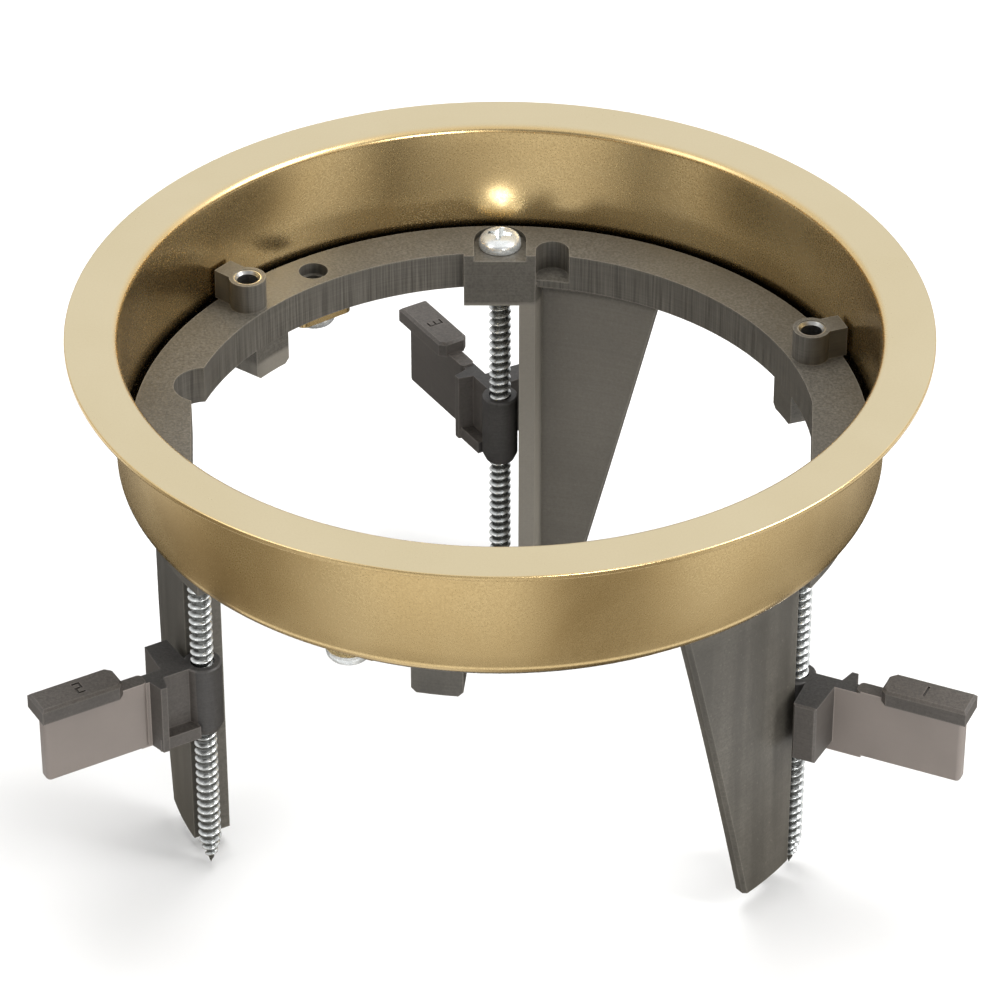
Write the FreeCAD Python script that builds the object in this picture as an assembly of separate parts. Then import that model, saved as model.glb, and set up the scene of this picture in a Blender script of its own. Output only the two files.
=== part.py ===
import FreeCAD, Part
import math
import os

# Round floor flange with a clamp bracket. Millimetres, +Z up.
# Origin: on the ring's axis, in the plane of the flange's top face.
# Pieces that repeat are built pointing along +X, then turned about Z to their angles.
# Angles are in degrees, anticlockwise from +X seen from above.

Vector = FreeCAD.Vector
os.makedirs("parts", exist_ok=True)

# ---- trim ring (formed sheet) ----
FLANGE_R = 76.2
SHEET_T = 1.2
WALL_R_IN = 66.8
WALL_R_OUT = WALL_R_IN + SHEET_T
BEND_R_TOP = 1.5         # convex bend between flange and barrel
BEND_R_UNDER = BEND_R_TOP - SHEET_T
RIM_ROUND = 0.35         # broken edge of the flange
CURL_R = 2.6             # outside radius of the rolled bottom edge
CURL_END_R = 65.6        # the rolled edge stops here, clear of the bracket
BARREL_BOTTOM = -27.0

# ---- inward tabs of the trim ring ----
TAB_ANGLES = (349.0, 125.0, 245.0)
TAB_HALF_W = 5.75
TAB_END_R = 56.1
TAB_CORNER_R = 1.5
TAB_TOP = -28.3
TAB_BOTTOM = TAB_TOP - SHEET_T
TAB_HOLE_R = 2.3
# Side view: radius, height.
TAB_OUTLINE = (
    (66.2, -25.75), (65.4, -25.85), (64.3, -26.3), (62.6, TAB_TOP), (TAB_END_R, TAB_TOP),
    (TAB_END_R, TAB_BOTTOM), (63.2, TAB_BOTTOM), (65.0, -27.2), (65.5, -26.95), (66.2, -26.7),
)

# ---- bracket (moulding): ring ----
RING_R_IN, RING_R_OUT = 56.0, 65.4
RING_TOP = -20.9
RING_BOTTOM = TAB_TOP
RING_BEVEL = 0.6
LANDS = ((183.0, 54.7), (-3.5, 55.3))   # flats on the inner edge: angle, distance from axis
LAND_DEPTH = 1.5
LAND_HALF_W = 22
SIDE_NOTCH_X, SIDE_NOTCH_Y, SIDE_NOTCH_R = -53.1, 11.4, 5.5

# ---- bracket: clamp stations ----
STATIONS = (330.0, 210.0, 90.0)   # stations 1, 2, 3
SCREW_R = 60.5           # distance of the long screws from the ring's axis
SCREW_HOLE_R = 2.165
PAD_X = 54.7             # flat inner face
PAD_Y0, PAD_Y1 = -6.7, 6.8
LUG_BOTTOM = -31.9
LUG_R = 64.4
SEAT_FLOOR = -22.1
SEAT_R = 4.9
BAR_Y0, BAR_Y1 = -7.9, -3.6
BAR_FRONT_Y0 = -6.6
BAR_BEVEL_X = 57.5
LEG_BOTTOM = -93.6
WEB_R_IN, WEB_R_OUT = 59.6, 62.0
WEB_TOP = -28.0
WEB_START, WEB_SWEEP = -34.0, 30.0
WEB_CUT_ANGLE = -23.0    # direction in which the slanted side is cut
WEB_SLANT = ((-30.0, WEB_TOP), (-15.0, -93.7))   # slanted side: angle from the station, height
WEB_EDGE_BEVEL = 0.7
NOTCH_X, NOTCH_Y, NOTCH_R, NOTCH_FLOOR = 56.8, -9.8, 3.1, -26.7

# ---- bracket: bosses, and the blocks under them ----
BOSS_ANGLES = (20.5, 140.5, 260.5)
BOSS_CENTRE_R = 60.0
BOSS_R = 3.4
BOSS_TOP = -15.0
KEY_HALF_W = 2.2
KEY_R = 66.2
TAIL_R = 2.1             # narrow hole below the insert pocket
TAIL_BOTTOM = -31.0
BLOCKS = ((19.2, 26.6), (134.4, 143.1), (256.2, 264.4))   # first and last angle
BLOCK_BOTTOM = -34.8
BLOCK_R_OUT = 63.0
BLOCK_BEVEL = 0.9

# ---- bracket: short-screw holes ----
RING_SCREW_R = 60.5      # distance of the short screws from the ring's axis
PILOT_R = 2.1
PILOT_WIDE_R = 2.7
PILOT_WIDE_FLOOR = -23.2
# Room for a tab's step, side view: radius, height.
STEP_OUTLINE = (
    (62.45, -28.4), (62.45, -28.25), (64.1, -26.15), (65.0, -25.6),
    (67, -25.6), (67, -30), (62.45, -30),
)
STEP_HALF_W = 6.2

# ---- threaded inserts ----
INSERT_R = 2.6
INSERT_BORE_R = 1.9
INSERT_BOTTOM = -24.0
INSERT_TOP = BOSS_TOP - 0.1

# ---- screws ----
THREAD_R = 2.085
ROOT_R = 1.5
NECK_R = 1.75
PITCH = 1.69
HEAD_R = 4.0
HEAD_H = 2.7
RECESS_DEPTH = 1.7
CLAMP_SCREW_L = 75.0
RING_SCREW_TIP = -24.0
CLAMP_SCREW_TURNS = (20.0, 65.0, -12.0)   # each screw about its own axis
RING_SCREW_TURNS = (10.0, 40.0, 70.0)

# ---- clamp arms: x outward from the screw's axis, z = 0 at the sleeve's top ----
SLEEVE_R = 3.4
SLEEVE_BORE_R = SCREW_HOLE_R
SLEEVE_L = 14.5
ARM_TOPS = (-54.0, -51.5, -55.8)       # height of each sleeve's top
ARM_SWING = (6.0, 0.0, 32.0)           # arm's direction, anticlockwise from radial
ARM_ROOT_X = 2.45                      # inside the sleeve's wall
ARM_BOTTOM = -14
STOP_END_Y = -9.0
PLATE_TOP = 0.4
CAP_TOP = 3.1
# Plan views: x, y.
STOP_PLAN = ((ARM_ROOT_X, -1.0), (7.6, -1.0), (7.0, STOP_END_Y), (2.7, STOP_END_Y))
RIB_PLAN = ((8.1, 0.9), (10.9, 0.9), (10.1, 3.9), (8.9, 3.9))
CAP_PLAN = ((16.5, -2.0), (17.6, -3.1), (32.4, -3.1), (32.4, 3.1), (17.6, 3.1), (16.5, 2.0))
DIGIT_X = 24.0
DIGIT_FLOOR = 2.85
# Bars of a digit about its centre: x0, y0, x1, y1.
SEGMENTS = {
    "top": (-0.75, 1.1, 0.75, 1.5),
    "middle": (-0.75, -0.2, 0.75, 0.2),
    "bottom": (-0.75, -1.5, 0.75, -1.1),
    "upper right": (0.35, -0.2, 0.75, 1.5),
    "lower right": (0.35, -1.5, 0.75, 0.2),
    "lower left": (-0.75, -1.5, -0.35, 0.2),
    "one": (-0.2, -1.5, 0.2, 1.5),
}
DIGITS = (
    ("one",),
    ("top", "upper right", "middle", "lower left", "bottom"),
    ("top", "upper right", "middle", "lower right", "bottom"),
)

OVERRUN = 1              # how far pieces sink into the ring and cutters pass its faces


# -------------------------------------------------------------------- helpers
def cylinder(r, z0, z1, x=0.0, y=0.0):
    return Part.makeCylinder(r, z1 - z0, Vector(x, y, z0))


def box(x0, x1, y0, y1, z0, z1):
    return Part.makeBox(x1 - x0, y1 - y0, z1 - z0, Vector(x0, y0, z0))


def turned(shape, angle):
    copy = shape.copy()
    copy.rotate(Vector(0, 0, 0), Vector(0, 0, 1), angle)
    return copy


def moved(shape, x, z):
    copy = shape.copy()
    copy.translate(Vector(x, 0, z))
    return copy


def around(shapes, angles):
    """Every shape, turned to each angle."""
    return [turned(shape, angle) for angle in angles for shape in shapes]


def polygon(corners):
    return Part.Face(Part.makePolygon(corners + [corners[0]]))


def prism_y(points, y0, y1):
    """XZ outline extruded along Y."""
    return polygon([Vector(x, y0, z) for x, z in points]).extrude(Vector(0, y1 - y0, 0))


def prism_z(points, z0, z1):
    """XY outline extruded along Z."""
    return polygon([Vector(x, y, z0) for x, y in points]).extrude(Vector(0, 0, z1 - z0))


def spin(face, sweep=360.0):
    return face.revolve(Vector(0, 0, 0), Vector(0, 0, 1), sweep)


def revolved(points, sweep=360.0, start=0.0):
    """XZ outline revolved about Z, from the start angle."""
    return turned(spin(polygon([Vector(x, 0, z) for x, z in points]), sweep), start)


def outline_face(steps):
    """Closed XZ face of lines (x, z) and three-point arcs (mid x, mid z, x, z)."""
    edges = []
    first = here = Vector(steps[0][0], 0, steps[0][1])
    for step in steps[1:]:
        end = Vector(step[-2], 0, step[-1])
        if len(step) == 4:
            edges.append(Part.Arc(here, Vector(step[0], 0, step[1]), end).toShape())
        else:
            edges.append(Part.makeLine(here, end))
        here = end
    if (here - first).Length > 1e-7:
        edges.append(Part.makeLine(here, first))
    return Part.Face(Part.Wire(edges))


def on_circle(x, z, r, angle):
    return x + r * math.cos(math.radians(angle)), z + r * math.sin(math.radians(angle))


def save(shape, node):
    solid = shape.removeSplitter()
    if solid.ShapeType == "Compound" and len(solid.Solids) == 1:
        solid = solid.Solids[0]
    if not solid.isValid() or len(solid.Solids) != 1:
        raise RuntimeError("%s: valid %s, solids %d" % (node, solid.isValid(), len(solid.Solids)))
    solid.exportStep("parts/%s.step" % node)


# ------------------------------------------------------------------ trim ring
def make_tab():
    """Tab turned in from the rolled edge and stepped down under the bracket."""
    tab = prism_y(TAB_OUTLINE, -TAB_HALF_W, TAB_HALF_W)
    corners = [edge for edge in tab.Edges
               if abs(edge.CenterOfMass.x - TAB_END_R) < 1e-6
               and abs(abs(edge.CenterOfMass.y) - TAB_HALF_W) < 1e-6]
    tab = tab.makeFillet(TAB_CORNER_R, corners)
    return tab.cut(cylinder(TAB_HOLE_R, -32, -24, RING_SCREW_R))


def make_trim_ring():
    curl_x, curl_z = WALL_R_OUT - CURL_R, BARREL_BOTTOM + CURL_R
    curl_r_in = CURL_R - SHEET_T
    reach = CURL_END_R - curl_x
    top_x = WALL_R_IN + BEND_R_TOP
    under_x, under_z = WALL_R_OUT + BEND_R_UNDER, -SHEET_T - BEND_R_UNDER
    rim_x = FLANGE_R - RIM_ROUND
    section = outline_face([
        (rim_x, 0.0),
        (top_x, 0.0),
        on_circle(top_x, -BEND_R_TOP, BEND_R_TOP, 135) + (WALL_R_IN, -BEND_R_TOP),
        (WALL_R_IN, curl_z),
        on_circle(curl_x, curl_z, curl_r_in, -45)
        + (CURL_END_R, curl_z - math.sqrt(curl_r_in ** 2 - reach ** 2)),
        (CURL_END_R, curl_z - math.sqrt(CURL_R ** 2 - reach ** 2)),
        on_circle(curl_x, curl_z, CURL_R, -45) + (WALL_R_OUT, curl_z),
        (WALL_R_OUT, under_z),
        on_circle(under_x, under_z, BEND_R_UNDER, 135) + (under_x, -SHEET_T),
        (rim_x, -SHEET_T),
        on_circle(rim_x, -SHEET_T + RIM_ROUND, RIM_ROUND, -45) + (FLANGE_R, -SHEET_T + RIM_ROUND),
        (FLANGE_R, -RIM_ROUND),
        on_circle(rim_x, -RIM_ROUND, RIM_ROUND, 45) + (rim_x, 0.0),
    ])
    return spin(section).fuse(around([make_tab()], TAB_ANGLES))


# ------------------------------------------------------------ bracket moulding
def make_web():
    """Curved leg wall with one slanted side."""
    web = revolved([(WEB_R_IN, WEB_TOP), (WEB_R_OUT, WEB_TOP),
                    (WEB_R_OUT, LEG_BOTTOM), (WEB_R_IN, LEG_BOTTOM)], WEB_SWEEP, WEB_START)
    mid_r = (WEB_R_IN + WEB_R_OUT) / 2
    side = [(mid_r * math.sin(math.radians(angle - WEB_CUT_ANGLE)), z) for angle, z in WEB_SLANT]
    side += [(-40.0, WEB_SLANT[1][1]), (-40.0, WEB_TOP)]
    cutter = polygon([Vector(50, y, z) for y, z in side]).extrude(Vector(20, 0, 0))
    web = web.cut(turned(cutter, WEB_CUT_ANGLE))
    # Thin the slanted side from the outside: its outer edge is the most clockwise one.
    outer = [edge for edge in web.Edges if edge.Length > 60
             and all(abs(math.hypot(p.X, p.Y) - WEB_R_OUT) < 1e-4 for p in edge.Vertexes)]
    slant = min(outer, key=lambda edge: math.atan2(edge.CenterOfMass.y, edge.CenterOfMass.x))
    return web.makeChamfer(WEB_EDGE_BEVEL, [slant])


def station_pieces():
    sunk = RING_BOTTOM + OVERRUN
    pad = box(PAD_X, 59, PAD_Y0, PAD_Y1, RING_BOTTOM, RING_TOP)
    lug = box(PAD_X, 66, BAR_Y1 - 0.5, PAD_Y1, LUG_BOTTOM, sunk)
    lug = lug.common(cylinder(LUG_R, -40, -20))
    bar = prism_z([(PAD_X, BAR_Y1), (PAD_X, BAR_FRONT_Y0), (BAR_BEVEL_X, BAR_Y0),
                   (66, BAR_Y0), (66, BAR_Y1)], LEG_BOTTOM, sunk)
    bar = bar.common(cylinder(WEB_R_OUT, -100, -20))
    return [pad, lug, bar, make_web()]


def make_land(distance):
    land = box(distance, 60, -LAND_HALF_W, LAND_HALF_W, RING_BOTTOM, RING_TOP)
    return land.common(cylinder(RING_R_IN + LAND_DEPTH, RING_BOTTOM, RING_TOP))


def make_boss():
    """Round boss with a key reaching outward."""
    foot = RING_TOP - OVERRUN
    key = box(BOSS_CENTRE_R, 68, -KEY_HALF_W, KEY_HALF_W, foot, BOSS_TOP)
    key = key.common(cylinder(KEY_R, -30, -10))
    boss = cylinder(BOSS_R, foot, BOSS_TOP, BOSS_CENTRE_R).fuse(key)
    # Beyond the ring's edge the key stays above the ring's top.
    return boss.cut(box(RING_R_OUT - 0.2, 70, -6, 6, -30, RING_TOP))


def make_block(first, last):
    """Block under the ring, its bottom edges bevelled at both ends."""
    middle, half = (first + last) / 2, (last - first) / 2
    top = RING_BOTTOM + OVERRUN
    block = revolved([(RING_R_IN, top), (BLOCK_R_OUT, top), (BLOCK_R_OUT, BLOCK_BOTTOM),
                      (RING_R_IN, BLOCK_BOTTOM)], 2 * half, -half)
    ends = [edge for edge in block.Edges if abs(edge.CenterOfMass.z - BLOCK_BOTTOM) < 1e-6
            and abs(edge.CenterOfMass.y) > 2.5]
    return turned(block.makeChamfer(BLOCK_BEVEL, ends), middle)


def slot(x, y, r, z0, z1, inner_x):
    """Round-ended slot from (x, y) to the plane inner_x, nearer the ring's axis."""
    x0, x1 = sorted((x, inner_x))
    return cylinder(r, z0, z1, x, y).fuse(box(x0, x1, y - r, y + r, z0, z1))


def make_bracket():
    ring = revolved([
        (RING_R_IN, RING_TOP), (RING_R_OUT, RING_TOP), (RING_R_OUT, RING_BOTTOM + RING_BEVEL),
        (RING_R_OUT - RING_BEVEL, RING_BOTTOM), (RING_R_IN, RING_BOTTOM),
    ])
    adds = [turned(make_land(distance), angle) for angle, distance in LANDS]
    adds += around(station_pieces(), STATIONS)
    adds += [make_block(first, last) for first, last in BLOCKS]
    adds += around([make_boss()], BOSS_ANGLES)

    above = RING_TOP + OVERRUN
    # Seat for the screw's head, open to the middle, the screw's hole, and a relief by the leg.
    seat = slot(SCREW_R, 0, SEAT_R, SEAT_FLOOR, above, 50)
    hole = cylinder(SCREW_HOLE_R, -40, -10, SCREW_R)
    relief = slot(NOTCH_X, NOTCH_Y, NOTCH_R, NOTCH_FLOOR, above, 48)
    cuts = around([seat, hole, relief], STATIONS)
    # Wide notch on the -X side, through the ring.
    cuts.append(slot(SIDE_NOTCH_X, SIDE_NOTCH_Y, SIDE_NOTCH_R, -40, -10, -45))
    # Insert pocket and its narrower tail.
    pocket = cylinder(INSERT_R, INSERT_BOTTOM, BOSS_TOP + OVERRUN, BOSS_CENTRE_R)
    tail = cylinder(TAIL_R, TAIL_BOTTOM, INSERT_BOTTOM + OVERRUN, BOSS_CENTRE_R)
    cuts += around([pocket.fuse(tail)], BOSS_ANGLES)
    # Short-screw hole, opened out at the top, and room for the tab's step.
    pilot = cylinder(PILOT_R, -30, -20, RING_SCREW_R).fuse(
        cylinder(PILOT_WIDE_R, PILOT_WIDE_FLOOR, above, RING_SCREW_R))
    cuts += around([pilot, prism_y(STEP_OUTLINE, -STEP_HALF_W, STEP_HALF_W)], TAB_ANGLES)
    return ring.fuse(adds).cut(cuts)


# --------------------------------------------------------------------- inserts
def make_insert():
    return revolved([
        (INSERT_BORE_R, INSERT_BOTTOM), (INSERT_R, INSERT_BOTTOM), (INSERT_R, INSERT_TOP),
        (INSERT_BORE_R + 0.45, INSERT_TOP), (INSERT_BORE_R, BOSS_TOP - 0.65),
    ])


# ---------------------------------------------------------------------- screws
def make_recess(depth, half_l=2.35, half_w=0.55, taper=0.9):
    """Cross recess, cut downwards from z = 0."""
    recess = Part.makeCone(0.55, 1.25, depth, Vector(0, 0, -depth))
    wing = prism_y([(-half_l, 0.6), (half_l, 0.6), (half_l, 0.0), (half_l - taper, -depth),
                    (-half_l + taper, -depth), (-half_l, 0.0)], -half_w, half_w)
    for angle in (0, 90):
        recess = recess.fuse(turned(wing, angle))
    return recess


def make_screw(length, point, smooth, gimlet):
    """Head's underside at z = 0, shank down to -length; the thread is separate ridges."""
    steps = [
        (0.0, HEAD_H), (1.5, HEAD_H - 0.02), (3.1, HEAD_H - 0.42, HEAD_R - 0.12, 1.15),
        (HEAD_R, 0.75), (HEAD_R, 0.12), (HEAD_R - 0.12, 0.0), (NECK_R, 0.0), (NECK_R, -smooth),
    ]
    z = -smooth - 0.2
    thread_end = -length + point
    while z - PITCH > thread_end:
        steps += [(ROOT_R, z), (ROOT_R, z - PITCH * 0.42),
                  (THREAD_R, z - PITCH * 0.68), (THREAD_R, z - PITCH * 0.74)]
        z -= PITCH
    steps.append((ROOT_R, z))
    if gimlet:
        # The ridges shrink with the core.
        span = length + z
        while z - PITCH * 0.9 > -length + 0.8:
            valley, crest, foot = [z - PITCH * part for part in (0.42, 0.66, 0.86)]
            shrink = (length + crest) / span
            steps += [(ROOT_R * (length + valley) / span, valley),
                      (ROOT_R * shrink + 0.5 * min(1.0, 1.4 * shrink), crest),
                      (ROOT_R * (length + foot) / span, foot)]
            z -= PITCH * 0.9
        steps += [(0.16, -length + 0.12), (0.0, -length)]
    else:
        steps += [(ROOT_R, thread_end), (ROOT_R - point, -length), (0.0, -length)]
    return spin(outline_face(steps)).cut(moved(make_recess(RECESS_DEPTH), 0, HEAD_H))


def save_screws(screw, name, radius, z, angles, turns):
    for n, (angle, turn) in enumerate(zip(angles, turns), 1):
        save(turned(moved(turned(screw, turn), radius, z), angle), "%s_%d" % (name, n))


# ------------------------------------------------------------------ clamp arms
def make_arm():
    sleeve = revolved([
        (SLEEVE_BORE_R, 0.0), (SLEEVE_R - 0.25, 0.0), (SLEEVE_R, -0.25),
        (SLEEVE_R, -SLEEVE_L + 1.5), (2.75, -SLEEVE_L), (SLEEVE_BORE_R, -SLEEVE_L),
    ])
    spine = box(ARM_ROOT_X, 13, -1.4, 1.0, ARM_BOTTOM, 0)
    stop = prism_z(STOP_PLAN, -12, 0)
    stop = stop.makeChamfer(0.35, [edge for edge in stop.Edges
                                   if abs(edge.CenterOfMass.y - STOP_END_Y) < 1e-6])
    rib = prism_z(RIB_PLAN, ARM_BOTTOM, 0)
    floor = box(ARM_ROOT_X, 10.4, 0.9, 3.4, ARM_BOTTOM, -11.5)
    # Every edge but the top four is rounded.
    plate = box(11.5, 31.5, -1.4, 1.4, ARM_BOTTOM, PLATE_TOP)
    plate = plate.makeFillet(0.9, [edge for edge in plate.Edges
                                   if edge.CenterOfMass.z < PLATE_TOP - 0.1])
    cap = prism_z(CAP_PLAN, 0.1, CAP_TOP)
    cap = cap.makeChamfer(0.5, [edge for edge in cap.Edges
                                if abs(edge.CenterOfMass.z - CAP_TOP) < 1e-6])
    arm = sleeve.fuse([spine, stop, rib, floor, plate, cap])
    return arm.cut(cylinder(SLEEVE_BORE_R, -20, 5))


def engraved(arm, digit):
    """Digit cut into the cap's top, upright towards -Y."""
    for name in digit:
        x0, y0, x1, y1 = SEGMENTS[name]
        arm = arm.cut(box(DIGIT_X - x1, DIGIT_X - x0, -y1, -y0, DIGIT_FLOOR, 4.0))
    return arm


save(make_trim_ring(), "trim_ring")
save(make_bracket(), "mounting_bracket")

insert = moved(make_insert(), BOSS_CENTRE_R, 0)
for n, angle in enumerate(BOSS_ANGLES, 1):
    save(turned(insert, angle), "boss_insert_%d" % n)

clamp_screw = make_screw(CLAMP_SCREW_L, point=6.0, smooth=1.6, gimlet=True)
save_screws(clamp_screw, "clamp_screw", SCREW_R, SEAT_FLOOR, STATIONS, CLAMP_SCREW_TURNS)

# The short screws point up, with their heads under the tabs.
ring_screw = make_screw(RING_SCREW_TIP - TAB_BOTTOM, point=0.5, smooth=0.4, gimlet=False)
ring_screw.rotate(Vector(0, 0, 0), Vector(1, 0, 0), 180)
save_screws(ring_screw, "ring_screw", RING_SCREW_R, TAB_BOTTOM, TAB_ANGLES, RING_SCREW_TURNS)

plain_arm = make_arm()
for n, (angle, digit, swing, top) in enumerate(zip(STATIONS, DIGITS, ARM_SWING, ARM_TOPS), 1):
    arm = turned(engraved(plain_arm, digit), swing)
    save(turned(moved(arm, SCREW_R, top), angle), "clamp_arm_%d" % n)
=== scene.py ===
"""A brass trim ring with a moulded bracket, three clamp arms on long screws and three short screws.

The ring's axis is Z and its flat flange lies at z = 0, with everything else below it.
The camera looks down from the front, which is -Y. Sizes are in millimetres unless they
belong to the stage, the lights or the camera, which are in metres. Angles are in degrees.
"""
import bpy
import bmesh
import math
from functools import reduce
from mathutils import Matrix, Vector


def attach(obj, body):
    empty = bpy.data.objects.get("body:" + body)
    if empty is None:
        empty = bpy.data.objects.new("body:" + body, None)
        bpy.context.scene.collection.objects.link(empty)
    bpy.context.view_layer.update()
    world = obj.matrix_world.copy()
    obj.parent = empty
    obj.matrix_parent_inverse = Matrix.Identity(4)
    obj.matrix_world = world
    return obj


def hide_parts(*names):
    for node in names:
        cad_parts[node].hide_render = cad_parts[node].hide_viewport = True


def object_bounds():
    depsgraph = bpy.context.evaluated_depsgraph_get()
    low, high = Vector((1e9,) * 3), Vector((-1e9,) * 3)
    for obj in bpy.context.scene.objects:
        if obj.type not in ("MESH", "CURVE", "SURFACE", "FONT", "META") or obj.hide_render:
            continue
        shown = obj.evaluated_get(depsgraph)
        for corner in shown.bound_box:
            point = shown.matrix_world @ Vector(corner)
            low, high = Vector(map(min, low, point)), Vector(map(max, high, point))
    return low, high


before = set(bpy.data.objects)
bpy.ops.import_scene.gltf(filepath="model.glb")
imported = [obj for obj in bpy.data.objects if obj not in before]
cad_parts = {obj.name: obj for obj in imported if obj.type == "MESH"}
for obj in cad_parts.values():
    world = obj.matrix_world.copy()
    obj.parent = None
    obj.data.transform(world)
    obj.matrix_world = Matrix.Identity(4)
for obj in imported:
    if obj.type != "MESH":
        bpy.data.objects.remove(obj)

bpy.context.view_layer.update()
CAD_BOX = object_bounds()
MM = 0.001
COLLECTION = bpy.context.scene.collection

# Trim ring, as a section of bent sheet
FLANGE_R = 76.2
WALL_IN = 66.8
SHEET = 1.2
WALL_OUT = WALL_IN + SHEET
RIM_ROUND = 0.35    # rounding of the flange's outer rim
BEND_R = 1.5        # bend from flange to wall, on its larger side
CURL_R = 1.4        # inward curl at the wall's foot, on its smaller side
CURL_Z = -24.4

# Tabs under the ring, one at each short screw
SCREW_CIRCLE = 60.5
TAB_HALF = 5.75
TAB_IN = 56.1
TAB_BOTTOM = -29.5
TAB_CORNER = 1.5
TAB_HOLE_R = 2.3
# Side outline of a tab: (radius, z)
TAB = [
    (66.2, -25.75), (65.4, -25.85), (64.3, -26.3), (62.6, -28.3), (TAB_IN, -28.3),
    (TAB_IN, TAB_BOTTOM), (63.2, TAB_BOTTOM), (65.0, -27.2), (65.5, -26.95), (66.2, -26.7),
]
# Short screws: (station angle, turn about own axis)
RING_SCREWS = ((349.0, 10.0), (125.0, 40.0), (245.0, 70.0))

# Clamps: (station angle, arm swing, arm origin z, screw head turn, thread turn)
CLAMPS = (
    (330.0, 6.0, -54.0, 20.0, 0.0),
    (210.0, 0.0, -51.5, 65.0, 140.0),
    (90.0, 32.0, -55.8, -12.0, 250.0),
)

# Screws
CREST_R, ROOT_R, PITCH = 2.085, 1.5, 1.69
THREAD_H = CREST_R - ROOT_R
LONG_HEAD_Z = -22.1   # underside of the long screws' heads
# One pitch of thread: (share of the pitch, share of the thread height)
THREAD = [
    (0.0, 0.0), (0.34, 0.0), (0.46, 0.22), (0.60, 0.90), (0.655, 1.0), (0.70, 1.0),
    (0.755, 0.90), (0.86, 0.25), (0.93, 0.03),
]
# Pan head outline: (radius, z), underside at z = 0
HEAD = [
    (0.0, 2.70), (0.9, 2.695), (1.7, 2.64), (2.3, 2.53), (2.8, 2.37), (3.2, 2.16),
    (3.5, 1.92), (3.72, 1.62), (3.87, 1.28), (3.96, 0.92), (4.0, 0.6), (4.0, 0.22),
    (3.96, 0.08), (3.86, 0.0), (0.0, 0.0),
]
# One slot of the cross recess, seen from the side: (x, z)
SLOT_FLOOR = 0.95
SLOT = [
    (-2.35, 3.4), (2.35, 3.4), (2.28, 2.4), (1.25, SLOT_FLOOR), (-1.25, SLOT_FLOOR),
    (-2.28, 2.4),
]
SLOT_HALF = 0.52
# Round pit at the recess's centre: (radius, z)
PIT = [(0.0, 0.8), (0.62, 0.95), (1.28, 2.9), (1.28, 3.4), (0.0, 3.4)]

MOULD_ROUND = 0.22    # edge rounding of the moulded parts


# ------------------------------------------------------------------ node helpers
class Nodes:
    """Fills a node tree; most methods add a node and return its output socket."""

    def __init__(self, tree):
        self.tree = tree
        tree.nodes.clear()

    def new(self, kind, **settings):
        node = self.tree.nodes.new(kind)
        for key, value in settings.items():
            setattr(node, key, value)
        return node

    def put(self, socket, value):
        """Links a socket or sets a value; colours are given as three numbers."""
        if isinstance(value, bpy.types.NodeSocket):
            self.tree.links.new(value, socket)
        else:
            socket.default_value = (*value, 1) if socket.type == "RGBA" else value

    def math(self, operation, *values):
        node = self.new("ShaderNodeMath", operation=operation)
        for socket, value in zip(node.inputs, values):
            self.put(socket, value)
        return node.outputs[0]

    def add(self, a, b):
        return self.math("ADD", a, b)

    def mul(self, a, b):
        return self.math("MULTIPLY", a, b)

    def weighted(self, *pairs):
        """Sum of (value, weight) pairs."""
        return reduce(self.add, [self.mul(*pair) for pair in pairs])

    def squares(self, x, y):
        return self.add(self.mul(x, x), self.mul(y, y))

    def radius(self, x, y):
        return self.math("SQRT", self.squares(x, y))

    def remap(self, value, span, to=(0.0, 1.0), clamp=True):
        node = self.new("ShaderNodeMapRange", clamp=clamp)
        for i, item in enumerate((value, *span, *to)):
            self.put(node.inputs[i], item)
        return node.outputs[0]

    def mix(self, base, over, factor, amount=None, blend="MIX"):
        """Lays one colour over another; amount scales the factor."""
        if amount is not None:
            factor = self.mul(factor, amount)
        node = self.new("ShaderNodeMix", data_type="RGBA", blend_type=blend)
        self.put(node.inputs[0], factor)
        self.put(node.inputs[6], base)
        self.put(node.inputs[7], over)
        return node.outputs[2]

    def split(self, vector):
        node = self.new("ShaderNodeSeparateXYZ")
        self.put(node.inputs[0], vector)
        return node.outputs


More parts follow.
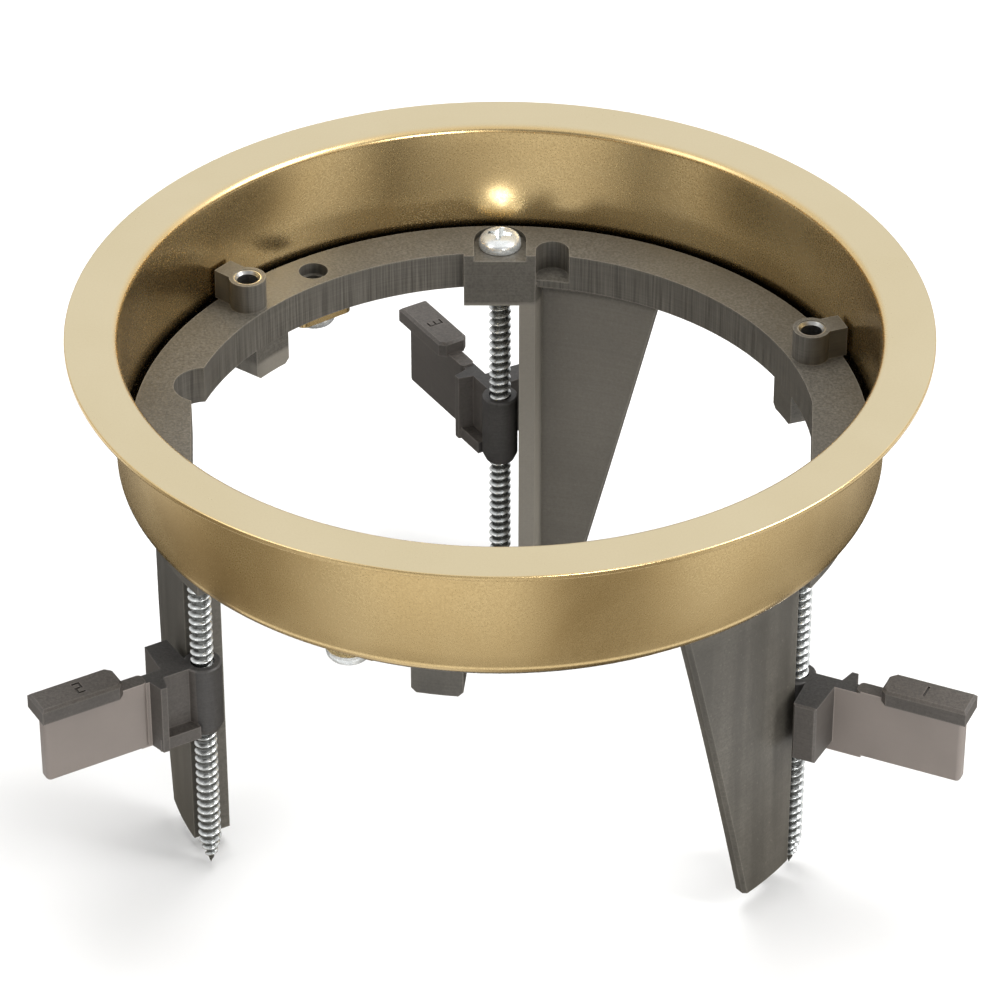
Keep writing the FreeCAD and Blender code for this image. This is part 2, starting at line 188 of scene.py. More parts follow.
class Material(Nodes):
    """A Principled material; coordinates are the object's own, in millimetres."""

    def __init__(self, name):
        self.material = bpy.data.materials.new(name)
        self.material.use_nodes = True
        super().__init__(self.material.node_tree)
        self.output = self.new("ShaderNodeOutputMaterial")
        self.bsdf = self.new("ShaderNodeBsdfPrincipled")
        self.put(self.output.inputs[0], self.bsdf.outputs[0])
        scale = self.new("ShaderNodeVectorMath", operation="SCALE")
        self.put(scale.inputs[0], self.new("ShaderNodeTexCoord").outputs["Object"])
        self.put(scale.inputs["Scale"], 1000.0)
        self.coords = scale.outputs[0]

    def noise(self, scale=1.0, detail=3.0, rough=0.5, distortion=0.0, coords=None):
        node = self.new("ShaderNodeTexNoise")
        self.put(node.inputs["Vector"], coords or self.coords)
        self.put(node.inputs["Scale"], scale)
        self.put(node.inputs["Detail"], detail)
        self.put(node.inputs["Roughness"], rough)
        self.put(node.inputs["Distortion"], distortion)
        return node.outputs[0]

    def streaks(self, *axes, detail=3.0, rough=0.6):
        """Stretched noise; each axis is a (coordinate, frequency) pair or a fixed offset."""
        node = self.new("ShaderNodeCombineXYZ")
        for socket, axis in zip(node.inputs, axes):
            self.put(socket, self.mul(*axis) if isinstance(axis, tuple) else axis)
        return self.noise(detail=detail, rough=rough, coords=node.outputs[0])

    def geometry(self, output):
        return self.new("ShaderNodeNewGeometry").outputs[output]

    def normal_z(self):
        return self.split(self.geometry("Normal"))[2]

    def bump(self, height, depth, strength):
        node = self.new("ShaderNodeBump")
        self.put(node.inputs["Strength"], strength)
        self.put(node.inputs["Distance"], depth * MM)
        self.put(node.inputs["Height"], height)
        return node.outputs[0]

    def edge_wear_and_highlight(self, radius):
        """1 on edges, 0 elsewhere: the rounded normal against the true one."""
        bevel = self.new("ShaderNodeBevel", samples=4)
        self.put(bevel.inputs["Radius"], radius * MM)
        dot = self.new("ShaderNodeVectorMath", operation="DOT_PRODUCT")
        self.put(dot.inputs[0], bevel.outputs[0])
        self.put(dot.inputs[1], self.geometry("Normal"))
        return self.remap(dot.outputs["Value"], (0.99, 0.86))

    def set(self, **values):
        for key, value in values.items():
            self.put(self.bsdf.inputs[key.replace("_", " ")], value)


def scaled(colour, factor):
    return tuple(factor * channel for channel in colour)


def grey(level):
    return (level, level, level)


# --------------------------------------------------------------------- materials
def brass():
    mat = Material("satin_brass")
    grain = mat.noise(scale=2.6, rough=0.6)
    fine = mat.noise(scale=5.5, detail=2.0)
    cloud = mat.noise(scale=0.035, rough=0.55, distortion=0.4)
    # Very light turning marks round the axis.
    x, y, z = mat.split(mat.coords)
    radius = mat.radius(x, y)
    angle = mat.math("ARCTAN2", y, x)
    marks = mat.streaks((radius, 2.4), (angle, 3.0), (z, 2.4))
    # Faces that look up are hazier than the wall, and painted paler: a painted reflection of the
    # light from above.
    flat = mat.remap(mat.normal_z(), (0.70, 0.97))
    wall = mat.mix((0.77, 0.565, 0.272), (0.83, 0.630, 0.325), mat.remap(cloud, (0.35, 0.65)))
    top = mat.mix((0.775, 0.665, 0.432), (0.80, 0.692, 0.462), mat.remap(cloud, (0.35, 0.65)))
    wall = mat.mix(wall, (0.60, 0.43, 0.20), mat.remap(grain, (0.36, 0.66), to=(0.0, 0.40)))
    wall = mat.mix(wall, (0.95, 0.78, 0.46), mat.remap(fine, (0.55, 0.75), to=(0.0, 0.22)))
    top = mat.mix(top, (0.62, 0.50, 0.31), mat.remap(grain, (0.36, 0.7), to=(0.0, 0.10)))
    colour = mat.mix(wall, top, flat)
    # Painted shade low on the wall's inner face, in the narrow gap beside the bracket.
    painted_shade = mat.mul(mat.remap(z, (-21.3, -20.3), to=(1.0, 0.0)),
                    mat.remap(radius, (67.0, 67.3), to=(1.0, 0.0)))
    painted_shade = mat.mul(painted_shade, mat.remap(z, (-25.6, -25.2)))
    colour = mat.mix(colour, (0.03, 0.025, 0.018), painted_shade, amount=0.92)
    rough = mat.add(mat.remap(cloud, (0.3, 0.7), to=(0.23, 0.29)),
                    mat.remap(grain, (0.3, 0.7), to=(-0.03, 0.05)))
    haze = mat.mul(flat, 0.05)
    height = mat.weighted((grain, 0.7), (fine, 0.2), (marks, 0.25))
    mat.set(Base_Color=colour, Metallic=1.0, Roughness=mat.add(rough, haze),
            Normal=mat.bump(height, depth=0.010, strength=0.45))
    return mat.material


def ring_wear_and_light(mat, colour, dark, light, y, z, angle, radius):
    """Marks and painted light on the bracket's legs."""
    legs = mat.remap(z, (-34.0, -29.0), to=(1.0, 0.0))
    outside = mat.remap(radius, (60.4, 61.2))
    # Soft upright bands and a darkening towards the top, on the outer faces.
    bands = mat.streaks((angle, 14.0), (z, 0.014), 7.0, detail=2.0, rough=0.5)
    bands = mat.mul(mat.remap(bands, (0.40, 0.60)), 0.50)
    colour = mat.mix(colour, scaled(dark, 0.60), mat.mul(mat.mul(legs, outside), bands))
    upper = mat.remap(z, (-62.0, -34.0), to=(0.0, 0.32))
    colour = mat.mix(colour, scaled(dark, 0.50), mat.mul(mat.mul(legs, outside), upper))
    # Fine pale scuffs.
    scuffs = mat.streaks((angle, 75.0), (z, 0.9), 1.0, detail=4.0, rough=0.8)
    scuffs = mat.remap(scuffs, (0.60, 0.76), to=(0.0, 0.60))
    colour = mat.mix(colour, scaled(light, 1.9), mat.mul(legs, scuffs))
    # Paler inner faces on the back (+Y) leg, palest nearest the axis: painted light on faces that
    # look to the front.
    back = mat.mul(mat.remap(y, (30.0, 36.0)), mat.remap(z, (-31.9, -31.0), to=(1.0, 0.0)))
    inmost = mat.mul(back, mat.remap(radius, (57.0, 57.8), to=(1.0, 0.0)))
    inside = mat.mul(back, mat.remap(radius, (59.9, 60.3), to=(1.0, 0.0)))
    colour = mat.mix(colour, scaled(light, 2.2), inside, amount=0.30)
    return mat.mix(colour, scaled(light, 2.4), inmost, amount=0.38)


# How far the faint flow lines are flattened to mid grey, for each kind of part
LINE_FADE = {"ring": 0.25, "arm": 0.35, "plate": 0.93}


def plastic(name, dark, light, kind):
    """Moulded plastic: flow lines along one direction, speckle, lighter edges from wear and a
    painted highlight.
    """
    mat = Material(name)
    x, y, z = mat.split(mat.coords)
    if kind == "ring":
        angle = mat.math("ARCTAN2", y, x)
        radius = mat.radius(x, y)
        down = mat.streaks((angle, 150.0), (z, 0.05), 0.0)
        along = mat.streaks((angle, 2.0), (z, 3.4), 3.0)
        # Lines run down the part, but level below z = -28.4 and inside radius 55.8.
        level = mat.math("MAXIMUM", mat.remap(z, (-28.6, -28.2), to=(1.0, 0.0)),
                         mat.remap(radius, (55.7, 55.9), to=(1.0, 0.0)))
        line = mat.mix(down, along, level)
        cross = mat.mix(along, down, level)
    else:
        level = 1.0
        line = mat.streaks((x, 0.15), (y, 0.15), (z, 3.0))
        cross = mat.streaks((x, 2.0), (y, 2.0), (z, 0.2), detail=2.0, rough=0.5)
    flat = mat.remap(mat.math("ABSOLUTE", mat.normal_z()), (0.6, 0.9))
    speckle = mat.noise(scale=2.0, detail=4.0, rough=0.72)
    soft = mat.noise(scale=0.09)
    # Strong lines where they run down, faint ones where they run level.
    lines = mat.mix(line, cross, factor=0.22)
    faint = mat.mix(lines, speckle, factor=0.60)
    faint = mat.mix(faint, grey(0.5), factor=LINE_FADE[kind])
    if kind == "plate":
        texture = faint
    else:
        texture = mat.mix(mat.mix(lines, faint, level), speckle, flat)
    colour = mat.mix(scaled(dark, 0.86), scaled(light, 1.12),
                     mat.remap(texture, (0.36, 0.66), to=(-0.10, 1.10), clamp=False))
    colour = mat.mix(colour, scaled(dark, 0.8), mat.remap(soft, (0.35, 0.7), to=(0.0, 0.35)))
    # Dust on the flat faces.
    dust = mat.noise(scale=1.9, detail=4.0, rough=0.75)
    dust = mat.remap(dust, (0.56, 0.74), to=(0.0, 0.34))
    colour = mat.mix(colour, scaled(light, 2.1), mat.mul(dust, flat))
    if kind == "ring":
        colour = ring_wear_and_light(mat, colour, dark, light, y, z, angle, radius)
    # Lighter edges: wear, and a painted highlight along them.
    colour = mat.mix(colour, scaled(light, 2.3), mat.edge_wear_and_highlight(radius=0.45), amount=0.45)
    height = mat.weighted((texture, 0.7), (speckle, 0.3))
    mat.set(Base_Color=colour, Roughness=mat.remap(texture, (0.3, 0.7), to=(0.40, 0.56)),
            Specular_IOR_Level=0.55, Normal=mat.bump(height, depth=0.035, strength=0.5))
    return mat.material


def zinc(name, metallic, bright):
    mat = Material(name)
    mottle = mat.noise(scale=1.1, detail=4.0, rough=0.6)
    patches = mat.noise(scale=0.18, detail=2.0)
    colour = mat.mix(scaled((0.98, 1.0, 0.99), bright),
                     scaled((0.97, 1.0, 0.995), 0.74 * bright),
                     mat.remap(mottle, (0.35, 0.7)))
    colour = mat.mix(colour, (0.62, 0.66, 0.68),
                     mat.remap(patches, (0.45, 0.7), to=(0.0, 0.35)))
    stain = mat.remap(mat.noise(scale=2.6), (0.62, 0.8), to=(0.0, 0.5))
    colour = mat.mix(colour, (0.30, 0.30, 0.285), stain)
    # Dirt and shadow in the thread's roots and in the recess.
    depth = mat.new("ShaderNodeAttribute", attribute_name="root").outputs["Fac"]
    hollow = mat.math("MAXIMUM",
                      mat.remap(mat.geometry("Pointiness"), (0.44, 0.505), to=(1.0, 0.0)),
                      mat.remap(depth, (0.30, 0.92)))
    colour = mat.mix(colour, (0.075, 0.078, 0.074), hollow, amount=0.86)
    rough = mat.weighted((stain, 0.25))
    rough = mat.add(mat.remap(mottle, (0.3, 0.7), to=(0.19, 0.32)), rough)
    mat.set(Base_Color=colour, Metallic=metallic, Roughness=rough, Specular_IOR_Level=0.7,
            Normal=mat.bump(mat.noise(scale=5.0), depth=0.02, strength=0.5))
    return mat.material


def insert_metal():
    """Turned metal with level rings."""
    mat = Material("insert_metal_turned")
    x, y, z = mat.split(mat.coords)
    rings = mat.streaks((x, 0.6), (y, 0.6), (z, 6.0), detail=2.0, rough=0.5)
    colour = mat.mix((0.46, 0.455, 0.44), (0.30, 0.295, 0.28), mat.remap(rings, (0.35, 0.7)))
    rough = mat.remap(mat.noise(scale=2.0), (0.3, 0.7), to=(0.30, 0.46))
    mat.set(Base_Color=colour, Metallic=1.0, Roughness=rough,
            Normal=mat.bump(rings, depth=0.02, strength=0.4))
    return mat.material


BRASS = brass()
BRACKET_PLASTIC = plastic("bracket_plastic", dark=(0.064, 0.058, 0.047),
                          light=(0.116, 0.106, 0.088), kind="ring")
# An arm's material slots: shell, plate, engraved groove, sleeve. Made in another order.
ARM = plastic("arm_plastic_moulded", dark=(0.054, 0.047, 0.041),
              light=(0.088, 0.078, 0.069), kind="arm")
# The plates are the arms' own plastic, painted paler: a painted reflection of the bright floor.
LIT_PLATE = plastic("arm_plastic_polished_painted_light", dark=(0.200, 0.170, 0.150),
                light=(0.222, 0.191, 0.170), kind="plate")
# The sleeve is the arm's plastic painted darker: painted shade under the plate.
SLEEVE = plastic("arm_plastic_sleeve", dark=(0.030, 0.028, 0.026),
                 light=(0.058, 0.054, 0.051), kind="arm")
# The engraved groove is painted darker: painted shade in the recess.
GROOVE = plastic("arm_plastic_groove", dark=(0.028, 0.025, 0.022),
                 light=(0.045, 0.040, 0.036), kind="arm")
ARM_SLOTS = (ARM, LIT_PLATE, GROOVE, SLEEVE)
ZINC_SLOTS = (zinc("bright_zinc_thread", metallic=0.86, bright=0.80),
              zinc("bright_zinc_head", metallic=0.60, bright=0.86))
INSERT = insert_metal()


# -------------------------------------------------------------------- mesh tools
def shade(obj, angle):
    for face in obj.data.polygons:
        face.use_smooth = True
    obj.data.set_sharp_from_angle(angle=math.radians(angle))


def make(name, bm, mats=(), angle=32.0, doubles=2e-6):
    """Cleans a bmesh and makes a smooth-shaded object of it."""
    if doubles:
        bmesh.ops.remove_doubles(bm, verts=bm.verts, dist=doubles)
    bmesh.ops.dissolve_degenerate(bm, edges=bm.edges, dist=1e-7)
    bmesh.ops.recalc_face_normals(bm, faces=bm.faces)
    mesh = bpy.data.meshes.new(name)
    bm.to_mesh(mesh)
    bm.free()
    obj = bpy.data.objects.new(name, mesh)
    COLLECTION.objects.link(obj)
    shade(obj, angle)
    for mat in mats:
        mesh.materials.append(mat)
    return obj


def temp(bm):
    return make("temp", bm, doubles=0)


def register(obj, body, node):
    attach(obj, body)
    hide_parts(node)


def gather(parts):
    """Moves the parts' meshes into one bmesh."""
    bm = bmesh.new()
    for part in parts:
        bm.from_mesh(part.data)
        bpy.data.objects.remove(part)
    return bm


def lathe(profile, count, closed=False):
    """Turns (radius, z) points about Z; closed joins the last point to the first."""
    bm = bmesh.new()
    rows = []
    for radius, z in profile:
        if radius == 0:
            rows.append([bm.verts.new((0, 0, z * MM))] * count)
        else:
            angles = [2 * math.pi * i / count for i in range(count)]
            rows.append([bm.verts.new((radius * MM * math.cos(a), radius * MM * math.sin(a),
                                       z * MM)) for a in angles])
    pairs = list(zip(rows, rows[1:])) + ([(rows[-1], rows[0])] if closed else [])
    for upper, lower in pairs:
        for i in range(count):
            j = (i + 1) % count
            corners = list(dict.fromkeys((upper[i], upper[j], lower[j], lower[i])))
            if len(corners) > 2:
                bm.faces.new(corners)
    return bm


def arc(x, y, radius, start, end, steps):
    angles = [math.radians(start + (end - start) * i / steps) for i in range(steps + 1)]
    return [(x + radius * math.cos(a), y + radius * math.sin(a)) for a in angles]


def between(start, end, steps):
    """The points that part a line into equal steps, without its ends."""
    return [tuple(a + i * (b - a) / steps for a, b in zip(start, end))
            for i in range(1, steps)]


def prism(points, axis, low, high):
    """Extrudes a polygon: axis 'z' takes (x, y) points, axis 'y' takes (x, z)."""
    bm = bmesh.new()

    def ring(level):
        rows = [(a, b, level) if axis == "z" else (a, level, b) for a, b in points]
        return [bm.verts.new([value * MM for value in row]) for row in rows]

    first = ring(low)
    last = ring(high)
    bm.faces.new(first)
    bm.faces.new(last[::-1])
    for i in range(len(points)):
        j = (i + 1) % len(points)
        bm.faces.new((first[i], last[i], last[j], first[j]))
    bmesh.ops.recalc_face_normals(bm, faces=bm.faces)
    return bm


def apply_modifiers(obj):
    bpy.context.view_layer.update()
    graph = bpy.context.evaluated_depsgraph_get()
    mesh = bpy.data.meshes.new_from_object(obj.evaluated_get(graph))
    obj.modifiers.clear()
    old = obj.data
    obj.data = mesh
    bpy.data.meshes.remove(old)


def boolean(target, tool, operation):
    mod = target.modifiers.new("b", "BOOLEAN")
    mod.operation = operation
    mod.object = tool
    mod.solver = "EXACT"
    apply_modifiers(target)
    bpy.data.objects.remove(tool)


def place(obj, matrix):
    obj.data.transform(matrix)
    return obj


def turn_z(degrees):
    return Matrix.Rotation(math.radians(degrees), 4, "Z")


def shift(x, z):
    return Matrix.Translation((x * MM, 0, z * MM))


# --------------------------------------------------------------------- trim ring
def ring_profile():
    """Section of the sheet: upper and inner side first, then back up the other side."""
    rim = FLANGE_R - RIM_ROUND
    bend = WALL_IN + BEND_R
    curl = WALL_IN - CURL_R
    points = [(rim, 0.0)]
    points += between((rim, 0.0), (bend, 0.0), 6)
    points += arc(bend, -BEND_R, BEND_R, 90, 180, 12)
    points += between((WALL_IN, -BEND_R), (WALL_IN, CURL_Z), 10)
    points += arc(curl, CURL_Z, CURL_R, 0, -82, 8)
    points += arc(curl, CURL_Z, CURL_R + SHEET, -85.6, 0, 14)
    points += between((WALL_OUT, CURL_Z), (WALL_OUT, -BEND_R), 10)
    points += arc(bend, -BEND_R, BEND_R - SHEET, 180, 90, 4)
    points += between((bend, -SHEET), (rim, -SHEET), 5)
    points += arc(rim, -SHEET + RIM_ROUND, RIM_ROUND, -90, 0, 5)
    points += arc(rim, -RIM_ROUND, RIM_ROUND, 0, 80, 4)
    return points


def ring_tab():
    """A tab on the +X side, with rounded inner corners and a screw hole."""
    tab = temp(prism(TAB, "y", -TAB_HALF, TAB_HALF))
    corner_x = TAB_IN + TAB_CORNER
    corner_y = TAB_HALF - TAB_CORNER
    plan = [(WALL_OUT, -TAB_HALF), (WALL_OUT, TAB_HALF)]
    plan += arc(corner_x, corner_y, TAB_CORNER, 90, 180, 8)
    plan += arc(corner_x, -corner_y, TAB_CORNER, 180, 270, 8)
    hole = arc(SCREW_CIRCLE, 0.0, TAB_HOLE_R, 0, 360, 48)[:-1]
    for outline, operation in ((plan, "INTERSECT"), (hole, "DIFFERENCE")):
        boolean(tab, temp(prism(outline, "z", -33, -22)), operation)
    return tab


ring = temp(lathe(ring_profile(), 360, closed=True))
for station, _ in RING_SCREWS:
    boolean(ring, place(ring_tab(), turn_z(station)), "UNION")
flange = make("brass_flange", gather([ring]), (BRASS,), angle=28.0)
register(flange, "frame", "trim_ring")


# ------------------------------------------------------------------------ screws
def unit(value):
    return min(1.0, max(0.0, value))


def threaded_rod(z_top, z_bottom, point=0.0, fade=0.0, count=44):
    """A right-handed thread; point is the tapered tip's length, 0 for a blunt end.

    Over the length fade below the top, the thread melts into a plain shank.
    The "root" attribute runs from 0 on the crest to 1 at the root.
    """
    shank = ROOT_R + THREAD_H * 0.45
    steps = len(THREAD)
    rows = (int((z_top - z_bottom) / PITCH) + 4) * steps
    bm = bmesh.new()
    root_layer = bm.verts.layers.float.new("root")
    columns = []
    for i in range(count):
        angle = 2 * math.pi * i / count
        column = []
        for row in range(rows + steps):
            turn, step = divmod(row, steps)
            along, rise = THREAD[step]
            z_free = z_bottom + (turn - 1 + along + i / count) * PITCH
            z = min(max(z_free, z_bottom), z_top)
            up = z - z_bottom
            if point:
                root = ROOT_R * unit(up / point) ** 0.85
                height = THREAD_H * unit((up - 0.5) / 2.2)
            else:
                root = ROOT_R - 0.35 * unit(1 - up / 0.6)
                height = THREAD_H * unit(up / 0.5)
            full = unit((z_top - z) / fade) if fade else 1.0
            radius = (root + height * rise) * full + max(root, shank) * (1 - full)
            radius = max(radius, 0.02)
            if z_free >= z_top:
                radius = shank if fade else ROOT_R
            vert = bm.verts.new((radius * MM * math.cos(angle),
                                 radius * MM * math.sin(angle), z * MM))
            vert[root_layer] = unit(1.0 - (radius - root) / THREAD_H)
            column.append(vert)
        columns.append(column)
    # The last column joins the first one a whole turn higher.
    columns.append(columns[0][steps:])
    for here, there in zip(columns, columns[1:]):
        for q in range(rows - 1):
            bm.faces.new((here[q], there[q], there[q + 1], here[q + 1]))
    bmesh.ops.remove_doubles(bm, verts=bm.verts, dist=3e-7)
    bmesh.ops.dissolve_degenerate(bm, edges=bm.edges, dist=1e-7)
    loose = [v for v in bm.verts if not v.link_faces]
    bmesh.ops.delete(bm, geom=loose, context="VERTS")
    bmesh.ops.holes_fill(bm, edges=[edge for edge in bm.edges if edge.is_boundary], sides=0)
    return temp(bm)


def screw_head():
    """Pan head with its underside at z = 0 and a cross recess in the top."""
    head = temp(lathe(HEAD, 80))
    for degrees in (0, 90):
        slot = temp(prism(SLOT, "y", -SLOT_HALF, SLOT_HALF))
        # Flared flanks: the slot narrows with depth.
        for vert in slot.data.vertices:
            vert.co.y *= 0.62 + 0.38 * unit((vert.co.z / MM - SLOT_FLOOR) / 1.75)
        boolean(head, place(slot, turn_z(degrees)), "DIFFERENCE")
    boolean(head, temp(lathe(PIT, 40)), "DIFFERENCE")
    return head


def finish_screw(name, parts, is_head, body, node):
    """Joins rod and head; is_head(z) picks the faces of the head material."""
    screw = make(name, gather(parts), ZINC_SLOTS, angle=34.0)
    for face in screw.data.polygons:
        face.material_index = int(is_head(face.center.z))
    register(screw, body, node)


def long_screw(n, station, head_turn, thread_turn):
    rod = threaded_rod(z_top=-21.0, z_bottom=-97.1, point=6.2, fade=3.2)
    head = place(screw_head(), shift(0, LONG_HEAD_Z) @ turn_z(head_turn))
    move = turn_z(station) @ shift(SCREW_CIRCLE, 0)
    place(rod, move @ turn_z(thread_turn))
    place(head, move)
    finish_screw(f"long_screw_{n}", [rod, head], lambda z: z > (LONG_HEAD_Z + 0.05) * MM,
                 f"swing_{n}", f"clamp_screw_{n}")


def short_screw(n, station, own_turn):
    """Built head up, then turned over: the head is below and the blunt end above."""
    flip = Matrix.Rotation(math.pi, 4, "X")
    move = turn_z(station) @ shift(SCREW_CIRCLE, TAB_BOTTOM) @ flip @ turn_z(own_turn)
    parts = [place(threaded_rod(z_top=0.3, z_bottom=-5.5), move), place(screw_head(), move)]
    finish_screw(f"short_screw_{n}", parts, lambda z: z < (TAB_BOTTOM - 0.05) * MM,
                 "frame", f"ring_screw_{n}")


for n, (station, _, _, head_turn, thread_turn) in enumerate(CLAMPS, 1):
    long_screw(n, station, head_turn, thread_turn)
for n, (station, own_turn) in enumerate(RING_SCREWS, 1):
    short_screw(n, station, own_turn)


# ------------------------------------------------------------------ moulded parts
def moulded(node, name, mats, body, pick=lambda co: 0, engraved=lambda co: False):
    """The CAD node's own shape with flats rejoined and its sharp edges rounded.

    pick(centre) gives a face's material slot; edges within engraved(place) stay sharp.
    """
    bm = bmesh.new()
    bm.from_mesh(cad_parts[node].data)
    bmesh.ops.remove_doubles(bm, verts=bm.verts, dist=2e-6)
    bmesh.ops.dissolve_limit(bm, angle_limit=math.radians(0.6), verts=bm.verts,
                             edges=bm.edges, use_dissolve_boundaries=False)
    weight = bm.edges.layers.float.new("bevel_weight_edge")
    for edge in bm.edges:
        if len(edge.link_faces) == 2 and edge.calc_face_angle(0.0) > math.radians(38):
            if not all(engraved(vert.co) for vert in edge.verts):
                edge[weight] = 1.0
    mesh = bpy.data.meshes.new(name)
    bm.to_mesh(mesh)
    bm.free()
    obj = bpy.data.objects.new(name, mesh)
    COLLECTION.objects.link(obj)
    bevel = obj.modifiers.new("edge", "BEVEL")
    bevel.width = MOULD_ROUND * MM
    bevel.segments = 2
    bevel.limit_method = "WEIGHT"
    bevel.use_clamp_overlap = True
    bevel.miter_outer = "MITER_ARC"
    apply_modifiers(obj)
    shade(obj, 30.0)
    obj.data.materials.clear()
    for mat in mats:
        obj.data.materials.append(mat)
    for face in obj.data.polygons:
        face.material_index = pick(face.center)
    flat = obj.modifiers.new("flat", "WEIGHTED_NORMAL")
    flat.keep_sharp = True
    flat.weight = 100
    register(obj, body, node)


def clamp_arm(n, station, swing, top):
    to_arm = (turn_z(station) @ shift(SCREW_CIRCLE, top) @ turn_z(swing)).inverted()

    def engraved(co):
        """Whether a place is in the arm's engraved figure."""
        x, y, z = to_arm @ co
        return abs(x - 24 * MM) < 1.8 * MM and abs(y) < 1.8 * MM and z > 2.7 * MM

    def pick(co):
        """The place's index in ARM_SLOTS."""
        x, y, z = to_arm @ co
        # Arms 1 and 2 have smoother plates, painted paler as a painted reflection of the bright
        # floor.
        if n != 3 and x > 11.4 * MM and z < 0.05 * MM:
            return 1
        if engraved(co) and z < 3.05 * MM:
            return 2
        if x < 2.5 * MM and y > -3.5 * MM:
            return 3
        return 0

    moulded(f"clamp_arm_{n}", f"arm_{n}_shell", ARM_SLOTS, f"arm_{n}",
            pick, engraved)


moulded("mounting_bracket", "moulded_bracket", (BRACKET_PLASTIC,), "frame")
for n, (station, swing, top, _, _) in enumerate(CLAMPS, 1):
    clamp_arm(n, station, swing, top)
for n in (1, 2, 3):
    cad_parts[f"boss_insert_{n}"].material_slots[0].material = INSERT

# ------------------------------------------------------------------------- stage
FLOOR_GAP = 0.0002
# Painted reflection of the floor as the metal sees it, by angle from the front (-Y) towards +X:
# (angle, brightness)
OUTER_GLOW = (
    (-180, 0.80), (-107, 1.35), (-75, 0.26), (-58, 0.30), (-32, 0.98), (2, 0.98), (17, 0.27),
    (32, 0.28), (52, 0.96), (84, 0.80), (110, 1.30), (180, 0.80),
)
# Soft spots of light under the ring, in millimetres: (x, y, spread, brightness)
INNER_SPOTS = ((-26, -64, 22, 0.85), (90, -4, 24, 0.55), (-86, -14, 20, 0.30))


def floor_painted_reflection(mat):
    """Painted reflection that glossy rays see instead of the floor: dark zones and open white, by
    radius.
    """
    x, y, _ = mat.split(mat.coords)
    radius = mat.radius(x, y)
    turn = mat.math("DIVIDE", mat.math("ARCTAN2", x, mat.mul(y, -1.0)), 2 * math.pi)
    ramp = mat.new("ShaderNodeValToRGB")
    mat.put(ramp.inputs[0], mat.add(turn, 0.5))
    stops = ramp.color_ramp.elements
    while len(stops) < len(OUTER_GLOW):
        stops.new(0.5)
    for stop, (angle, level) in zip(stops, OUTER_GLOW):
        stop.position = (angle + 180.0) / 360.0
        stop.color = (*grey(level), 1)
    seen = mat.remap(y, (10.0, 60.0), to=(0.08, 0.012))
    for spot_x, spot_y, spread, gain in INNER_SPOTS:
        square = mat.squares(mat.math("SUBTRACT", x, spot_x), mat.math("SUBTRACT", y, spot_y))
        fall = mat.math("EXPONENT", mat.mul(square, -0.5 / (spread * spread)))
        seen = mat.add(seen, mat.mul(fall, gain))
    # Zones from the centre outwards: (radius where one begins, radius where it is full, look)
    zones = (
        (88.0, 98.0, mat.remap(y, (-20.0, 5.0), to=(1.05, 0.03))),
        (128.0, 146.0, grey(0.16)),
        (160.0, 178.0, ramp.outputs[0]),
        (250.0, 300.0, grey(0.22)),
        (480.0, 700.0, grey(0.95)),
    )
    for start, full, look in zones:
        seen = mat.mix(seen, look, mat.remap(radius, (start, full)))
    # Dark parts are warmer.
    tint = mat.mix((1.0, 0.86, 0.64), (1.0, 1.0, 1.0), mat.remap(seen, (0.15, 0.80)))
    return mat.mix(seen, tint, factor=1.0, blend="MULTIPLY")


def floor_material():
    mat = Material("pale_floor")
    mat.set(Base_Color=(0.86, 0.86, 0.855), Roughness=0.9, Specular_IOR_Level=0.1)
    glow = mat.new("ShaderNodeEmission")
    mat.put(glow.inputs[0], floor_painted_reflection(mat))
    # Glossy rays see the painted reflection; other rays see the pale floor.
    blend = mat.new("ShaderNodeMixShader")
    mat.put(blend.inputs[0], mat.new("ShaderNodeLightPath").outputs["Is Glossy Ray"])
    mat.put(blend.inputs[1], mat.bsdf.outputs[0])
    mat.put(blend.inputs[2], glow.outputs[0])
    mat.put(mat.output.inputs[0], blend.outputs[0])
    mat.material.cycles.emission_sampling = "NONE"
    return mat.material


bm = bmesh.new()
bmesh.ops.create_grid(bm, x_segments=2, y_segments=2, size=6.0)
floor = make("floor", bm, (floor_material(),), doubles=0)
floor.location.z = CAD_BOX[0].z - FLOOR_GAP


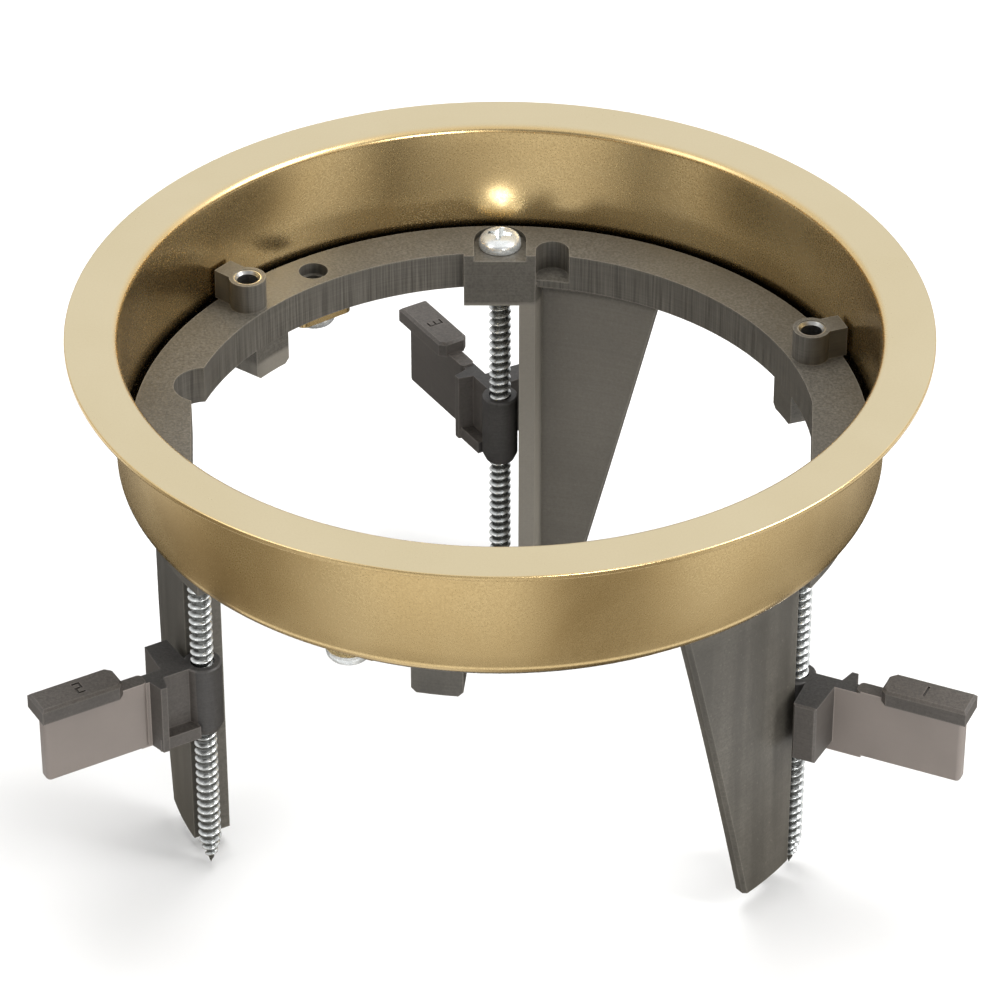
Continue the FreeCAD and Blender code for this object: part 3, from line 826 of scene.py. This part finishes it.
def studio_world():
    """Even white light; reflections also show a dark band low down at the front (-Y)."""
    world = bpy.data.worlds.new("studio")
    bpy.context.scene.world = world
    world.use_nodes = True
    nodes = Nodes(world.node_tree)
    output = nodes.new("ShaderNodeOutputWorld")
    background = nodes.new("ShaderNodeBackground")
    _, y, z = nodes.split(nodes.new("ShaderNodeTexCoord").outputs["Generated"])
    band = nodes.mul(nodes.remap(z, (0.04, 0.12)),
                     nodes.remap(z, (0.50, 0.62), to=(1.0, 0.0)))
    band = nodes.mul(band, nodes.remap(y, (-0.75, -0.50), to=(1.0, 0.0)))
    # Strength: 0.55 as light, 0.90 less the band in reflections.
    strength = nodes.new("ShaderNodeMix", data_type="FLOAT")
    is_glossy = nodes.new("ShaderNodeLightPath").outputs["Is Glossy Ray"]
    nodes.put(strength.inputs[0], is_glossy)
    nodes.put(strength.inputs[2], 0.55)
    nodes.put(strength.inputs[3], nodes.math("SUBTRACT", 0.90, nodes.mul(band, 0.68)))
    nodes.put(background.inputs[0], (1.0, 1.0, 1.0))
    nodes.put(background.inputs[1], strength.outputs[0])
    nodes.put(output.inputs[0], background.outputs[0])


studio_world()


def area(name, place, target, size, power, size_y=None):
    light = bpy.data.lights.new(name, "AREA")
    light.energy = power
    light.size = size
    if size_y:
        light.shape = "RECTANGLE"
        light.size_y = size_y
    obj = bpy.data.objects.new(name, light)
    COLLECTION.objects.link(obj)
    obj.location = place
    obj.rotation_mode = "QUATERNION"
    obj.rotation_quaternion = (Vector(target) - Vector(place)).to_track_quat("-Z", "Y")
    return obj


top_box = area("top_box", (0.0, 0.25, 1.15), (0, 0, -0.03), size=0.9, power=13.0, size_y=0.7)
top_box.visible_glossy = False
area("left_box", (-0.95, -0.55, 0.55), (0, 0, -0.04), size=0.6, power=2.2, size_y=0.8)
area("front_box", (0.45, -1.15, 0.14), (0, 0, -0.05), size=0.4, power=5.5, size_y=0.3)
area("right_box", (0.95, -0.25, 0.60), (0, 0, -0.04), size=0.4, power=9.0, size_y=0.7)
# A small patch of light on the wall behind the back screw head.
glint = area("head_glint", (0.0, 0.0600, -0.0200), (0.0, 0.0668, -0.0160),
             size=0.0036, power=0.00017)
glint.data.shape = "DISK"
glint.visible_camera = False

CAMERA_Y, CAMERA_Z = -0.710, 0.4593
EXTRA_PITCH = 0.037   # radians below the line to the origin
lens = bpy.data.cameras.new("camera")
lens.lens = 173.83
lens.sensor_width = 36.0
lens.clip_start = 0.01
lens.clip_end = 50.0
camera = bpy.data.objects.new("camera", lens)
COLLECTION.objects.link(camera)
camera.location = (0.0, CAMERA_Y, CAMERA_Z)
pitch = math.atan2(CAMERA_Z, -CAMERA_Y) + EXTRA_PITCH
camera.rotation_euler = (math.pi / 2 - pitch, 0.0, 0.0)
bpy.context.scene.camera = camera
bpy.context.scene.view_settings.view_transform = "Standard"

bpy.context.view_layer.update()
